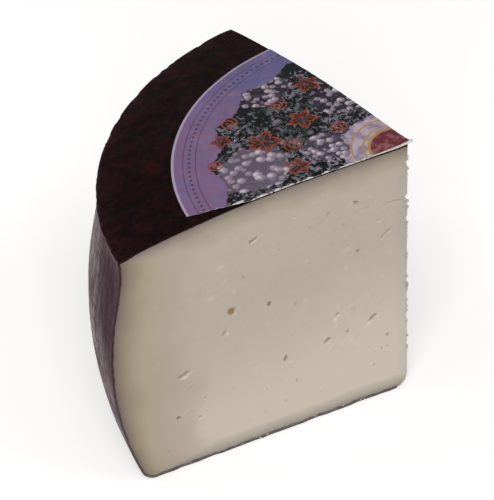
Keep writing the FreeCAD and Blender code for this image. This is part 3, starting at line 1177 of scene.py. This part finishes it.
def labelMaterial():
    material, tree, shader = newMaterial("printed label", {"Roughness": 0.5, "Specular IOR Level": 0.03})
    at = mask(tree, "print", "Vector")
    x, y, _ = split(tree, at)
    away = length(tree, at)
    angle = calc(tree, "ARCTAN2", y, times(tree, x, -1.0))     # 0 at the front cut

    # lilac border, bluer towards the back
    blue = fade(tree, plus(tree, angle, cloud(tree, at, 12.0)), 1.1, 1.9)
    inked = paint(tree, colour(label["lilac"]), blue, colour(label["lilacBlue"]))
    for size, tint in label["lilacPatches"]:
        inked = paint(tree, inked, times(tree, blotches(tree, at, size, 0.48, 0.7), 0.6), colour(tint))

    # the dark field, with pale and grey-green flecks like leaves on the ground
    scallops = times(tree, calc(tree, "ABSOLUTE", calc(tree, "SINE", times(tree, angle, 9.0))), 3.2)
    border = plus(tree, plus(tree, away, scallops), times(tree, cloud(tree, at, 2.0, 4.0), 2.5))
    inField = fade(tree, border, 52.6, 52.2)
    lean = plus(tree, cloud(tree, at, 15.0), times(tree, away, -0.006))
    field = colour(label["field"])
    for size, start, tint in label["fieldFlecks"]:
        broken = cloud(tree, vectorCalc(tree, "ADD", at, (31.0 * size, 7.0, 0)), size, 4.0, 0.68, 0.8)
        leafy = plus(tree, broken, times(tree, minus(tree, lean, 0.3), 0.4))
        field = paint(tree, field, fade(tree, leafy, start, start + 0.07), colour(tint))
    inked = paint(tree, inked, inField, field)

    # a pale ring with ragged edges round the wine-red disc
    ringEdge = plus(tree, away, times(tree, cloud(tree, at, 2.6, 4.0), 5.0))
    patches = fade(tree, cloud(tree, at, 3.5), 0.42, 0.6)
    pale = paint(tree, colour(label["pale"]), patches, colour(label["palePatches"]))
    inked = paint(tree, inked, fade(tree, ringEdge, 18.2, 17.4), pale)

    # bunches of pale drops
    for spot, size, drop, gap in label["bunches"]:
        values = {"Print": at, "Middle": spot, "Size": size, "Drop": drop}
        drops, light, gaps = useGroup(tree, dropBunch, values)
        inked = paint(tree, inked, times(tree, gaps, times(tree, inField, 0.8)), colour(gap))
        ball = paint(tree, colour(label["blushShade"]), light, colour(label["blush"]))
        grainy = fade(tree, cloud(tree, at, 0.8, 4.0), 0.35, 0.55, 0.55, 1.0)
        inked = paint(tree, inked, times(tree, times(tree, drops, inField), grainy), ball)

    # vine leaves and tendrils in ember red
    for spot, size, turn in label["leaves"]:
        leaf, edge = useGroup(tree, vineLeaf, {"Print": at, "Middle": spot, "Size": size, "Turn": turn})
        inked = coats(tree, inked, label, ((leaf, 0.7, "emberDark"), (edge, 1.0, "ember")))
    for spot, size, turn in label["tendrils"]:
        values = {"Print": at, "Middle": spot, "Size": size, "Turn": turn, "Width": 0.5}
        inked = paint(tree, inked, useGroup(tree, tendril, values)[0], colour(label["ember"]))

    # wine-red disc at the middle, in gold rings
    patches = fade(tree, cloud(tree, at, 3.0), 0.45, 0.6)
    wine = paint(tree, colour(label["wine"]), patches, colour(label["winePatches"]))
    inked = paint(tree, inked, fade(tree, away, 7.9, 7.6), wine)
    for ring, width in label["goldRings"]:
        line = fade(tree, off(tree, away, ring), width + 0.15, width)
        inked = paint(tree, inked, line, colour(label["gold"]))

    # a row of beads round the border between two thin lines, and its pale outer line
    step = off(tree, calc(tree, "FRACT", over(tree, angle, label["beadStep"])), 0.5)
    bead = plus(tree, times(tree, step, 1.9), off(tree, away, label["beads"]))
    drawn = fade(tree, bead, 0.62, 0.5)
    for ring in label["beadRings"]:
        drawn = calc(tree, "MAXIMUM", drawn, fade(tree, off(tree, away, ring), 0.1, 0.25, 0.7, 0.0))

    # bare paper where it is torn or scuffed
    bare = plus(tree, mask(tree, "torn"), times(tree, cloud(tree, at, 0.9, 4.0), 0.9))
    inked = coats(tree, inked, label, (
        (drawn, 0.7, "violet"),
        (fade(tree, away, 60.5, 60.7), 1.0, "paleLilac"),
        (fade(tree, bare, 1.0, 1.12), 1.0, "torn"),
    ))
    surface(tree, shader, inked, cloud(tree, at, 0.5, 4.0), 0.25, 0.05)
    return material


def makeLabel():
    sheet, torn = labelSheet()
    x, y = sheet[..., 0], sheet[..., 1]
    seen = stacked(x, y, 0)
    fromFront = y - trimAt(x)
    loose = np.clip(0.5 + fractal(seen, 9.0, 3, seed=14), 0, 1) * label["lift"]
    fray = falling(fromFront, 1.4) * np.clip(fractal(seen, 3.0, 3, seed=15), 0, 1) * label["fray"]
    under = crownHeight(x, y) + loose + tipCurl(x, y) + fray
    bottom = stacked(x, y, under)
    top = bottom + (0, 0, label["paper"])

    ids = np.arange(x.size).reshape(x.shape)
    low = ids + x.size
    edge = [np.concatenate((i[0, :-1], i[:-1, -1], i[-1, :0:-1], i[::-1, 0])) for i in (ids, low)]
    faces = quads(ids) + quads(low) + quads(stacked(*edge))
    printAt = seen - (*label["middle"], 0)
    tear = falling(fromFront, 1.5) * (0.5 + 0.5 * np.clip(torn * 1.6, 0, 1)[:, None])
    atTip = 0.9 * falling(np.hypot(x - label["overhang"], y), 2.6)
    masks = {
        "print": np.concatenate((printAt, printAt)).reshape(-1, 3),
        "torn": np.concatenate((np.maximum(tear, atTip).ravel(), np.ones(x.size))),
    }
    points = np.concatenate((top, bottom)).reshape(-1, 3)
    return makePiece("label_paper", points, faces, (labelMaterial(),), masks, sharp=60)


labelPiece = makeLabel()
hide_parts("label")


# shreds of paper along the label's cut, and its rolled edge

shreds = {
    "paper": "d6d0ca",
    "paperShade": "b3abac",
    "small": 30,            # this many small ones
    "between": (12, 52),    # at these distances from the tip
    # larger ones: start and end along the cut, width, how far it stands up
    "strips": ((-51.0, -48.4, 0.7, 0.1), (-44.4, -42.4, 0.8, 0.3), (-40.0, -38.0, 0.9, 0.2),
               (-35.6, -34.0, 0.7, 0.35), (-30.4, -28.6, 0.8, 0.15), (-25.2, -23.8, 0.8, 0.35),
               (-19.0, -17.2, 0.7, 0.15)),
    "roll": 0.4,            # radius of the rolled edge at the tip
    "rollLength": 12.0,
}


def ribbonRing(line, thick):
    # the closed outline of a thin strip whose middle follows a line
    line = np.array(line)
    along = np.gradient(line, axis=0)
    side = stacked(-along[:, 1], along[:, 0]) / np.linalg.norm(along, axis=1)[:, None] * thick / 2
    return np.concatenate((line + side, (line - side)[::-1]))


def makeShreds():
    material, tree, shader = newMaterial("torn paper", {"Roughness": 0.7, "Specular IOR Level": 0.1})
    fibres = blotches(tree, realSize(tree), 0.6, 0.4, 0.7)
    paper = paint(tree, colour(shreds["paper"]), fibres, colour(shreds["paperShade"]))
    tree.links.new(paper, shader.inputs["Base Color"])
    draw = random.Random(31)
    points, faces = [], []

    def addStrip(rings):
        first = len(points)
        for ring in rings:
            points.extend(ring)
        ids = np.arange(first, len(points)).reshape(len(rings), -1)
        faces.extend(quads(np.concatenate((ids, ids[:, :1]), 1)) + [ids[0].tolist(), ids[-1].tolist()])

    def onCrown(x, ring):
        # from distances out of the cut and heights over the crown to places
        return [(x, y, crownHeight(x, 0.0) + tipCurl(x, 0.0) + z) for y, z in ring]

    strips = list(shreds["strips"])
    for _ in range(shreds["small"]):
        start = -draw.uniform(*shreds["between"])
        end = start + draw.uniform(0.6, 1.8)
        strips.append((start, end, draw.uniform(0.3, 0.6), draw.uniform(0.05, 0.3)))
    for start, end, wide, rise in strips:
        rings, back = [], max(0.0, -start - label["trimReach"]) * 0.25
        for x in np.linspace(start, end, max(6, int((end - start) * 4))):
            t = 2 * (x - start) / (end - start) - 1
            half = wide * math.sqrt(max(0.1, 1 - t * t)) * draw.uniform(0.85, 1.15)
            line = ((0.6, 0.24), (0.25, 0.3 + rise * 0.6), (-0.05, 0.26 + rise), (-0.3, 0.05 + rise * 0.6))
            rings.append(onCrown(x, ribbonRing([(back + half * y, half * z + 0.1) for y, z in line], 0.07)))
        addStrip(rings)

    # the edge of the paper rolls up towards the tip
    rings = []
    for x in np.linspace(-shreds["rollLength"], label["overhang"] - 0.1, 60):
        grown = (x + shreds["rollLength"]) / (shreds["rollLength"] + label["overhang"])
        radius = shreds["roll"] * (0.25 + 0.75 * grown ** 1.4) * draw.uniform(0.93, 1.07)
        turn = np.radians(-80 - 270 * np.linspace(0, 1, 14))
        shrink = radius * np.linspace(1, 0.8, 14)
        line = stacked(0.12 + shrink * np.cos(turn), 0.16 + radius + shrink * np.sin(turn))
        rings.append(onCrown(x, ribbonRing(line, 0.08)))
    addStrip(rings)
    return makePiece("paper_shreds", points, faces, (material,))


# crumbs of paste at the edges of the cheese

crumbs = {
    "count": 80,
    "sizes": (0.14, 0.18, 0.22, 0.28, 0.36),
    # larger ones that stick out from the tip's edge: height, size
    "onTip": ((78.3, 0.5), (67.0, 0.55), (64.9, 0.45), (59.6, 0.4), (47.0, 0.3), (40.5, 0.4), (37.0, 0.42),
              (35.4, 0.3), (29.6, 0.36), (24.2, 0.3), (18.5, 0.28)),
}


def makeCrumbs(material):
    draw = random.Random(32)
    spots = [
        (place(middleTurn + draw.uniform(-0.5, 0.5), tipStart(middleTurn, z) + 0.1, z), size)
        for z, size in crumbs["onTip"]
    ]
    for _ in range(crumbs["count"]):
        size = draw.choice(crumbs["sizes"])
        z = draw.uniform(1, 84)
        kind = draw.random()
        if kind < 0.6:          # on the tip's edge
            angle = draw.uniform(cut["back"], cut["front"])
            spots.append((place(angle, tipStart(angle, z) + draw.uniform(0.0, 0.3), z), size))
        elif kind < 0.75:       # on the front cut
            spots.append((place(cut["front"], draw.uniform(1, 60), z) + frontNormal * -0.12, size * 0.8))
        else:                   # along the foot of the front cut
            low = draw.uniform(0.3, 1.0)
            spots.append((place(cut["front"], draw.uniform(6, 74), low) + frontNormal * -0.15, size))
    joined = bmesh.new()
    for i, (spot, size) in enumerate(spots):
        made = bmesh.ops.create_icosphere(joined, subdivisions=2, radius=size)["verts"]
        stretch = Vector([draw.uniform(0.6, 1.2) for _ in range(3)])
        for v in made:
            lump = 1 + 0.5 * noise.noise(v.co / size * 1.3 + Vector((9.7 * i, 0, 0)))
            v.co = Vector(spot) + v.co * stretch * lump
            v.co.z = max(v.co.z, 0)
    points = [v.co[:] for v in joined.verts]
    faces = [[v.index for v in f.verts] for f in joined.faces]
    joined.free()
    masks = {
        name: np.broadcast_to(plain, (len(points),) + np.shape(plain)) for name, plain in pasteMasks.items()
    }
    return makePiece("paste_crumbs", points, faces, (material,), masks)


makeShreds()
makeCrumbs(goatPaste)


# floor, light and camera

studio = {
    "floor": "f4f3f2",
    "floorGlow": 0.3,       # brings it up to white for the camera
    "floorReach": 6000,
    "floorDrop": 0.02,      # under the cheese
    "key": {"from": (-300, -620, 620), "size": 520, "watts": 3.9},
    "fill": {"from": (560, -420, 380), "size": 600, "watts": 1.6},
    "back": {"from": (-480, 420, 520), "size": 500, "watts": 1.9},
    "sky": 0.34,
    "camera": (-287.3, -566.4, 498.0),    # from the top of the tip
    "roll": -4.17,
    "lens": 216.2,
    "aim": (10.35, -9.17, -4.55),         # from the middle of the wedge
}


def makeFloor():
    material, tree, shader = newMaterial("pale floor", {
        "Base Color": colour(studio["floor"]), "Roughness": 0.9, "Specular IOR Level": 0.1,
        "Emission Color": (1, 1, 1, 1),
    })
    seen = node(tree, "ShaderNodeLightPath").outputs["Is Camera Ray"]
    tree.links.new(times(tree, seen, studio["floorGlow"]), shader.inputs["Emission Strength"])
    mesh = bpy.data.meshes.new("floor")
    far = studio["floorReach"] * mm
    mesh.from_pydata([(-far, -far, 0), (far, -far, 0), (far, far, 0), (-far, far, 0)], [], [(0, 1, 2, 3)])
    mesh.materials.append(material)
    floor = bpy.data.objects.new("floor", mesh)
    floor.location.z = cadBox[0][2] - studio["floorDrop"] * mm
    scene.collection.objects.link(floor)


def makeWorld():
    # a soft sky for the cheese, and white where the camera, gloss and glass see it
    world = bpy.data.worlds.new("studio")
    scene.world = world
    world.use_nodes = True
    tree = world.node_tree
    path = node(tree, "ShaderNodeLightPath").outputs
    white = path["Is Camera Ray"]
    for ray in ("Is Glossy Ray", "Is Transmission Ray"):
        white = calc(tree, "MAXIMUM", white, path[ray])
    strength = node(tree, "ShaderNodeMapRange", {0: white, 3: studio["sky"], 4: 1.0}).outputs[0]
    tree.links.new(strength, tree.nodes["Background"].inputs["Strength"])
    tree.nodes["Background"].inputs["Color"].default_value = (1, 1, 1, 1)


def makeLamp(name, lamp, target):
    data = bpy.data.lights.new(name, "AREA")
    data.size = lamp["size"] * mm
    data.energy = lamp["watts"]
    made = bpy.data.objects.new(name, data)
    made.location = Vector(lamp["from"]) * mm
    made.rotation_euler = (target - made.location).to_track_quat("-Z", "Y").to_euler()
    scene.collection.objects.link(made)


def makeCamera(target):
    data = bpy.data.cameras.new("camera")
    data.lens = studio["lens"]
    data.clip_start, data.clip_end = 0.05, 20
    camera = bpy.data.objects.new("camera", data)
    topOfTip = Vector(tip) + Vector((0, 0, wheel["height"])) * mm
    camera.location = topOfTip + Vector(studio["camera"]) * mm
    target = target + Vector(studio["aim"]) * mm
    aim = (target - camera.location).to_track_quat("-Z", "Y").to_matrix()
    camera.rotation_euler = (aim @ Matrix.Rotation(math.radians(studio["roll"]), 3, "Z")).to_euler()
    scene.collection.objects.link(camera)
    scene.camera = camera


middle = (Vector(cadBox[0]) + Vector(cadBox[1])) / 2
makeFloor()
makeWorld()
for lampName in ("key", "fill", "back"):
    makeLamp(lampName, studio[lampName], middle)
makeCamera(middle)
scene.view_settings.view_transform = "Standard"
print("studio made")
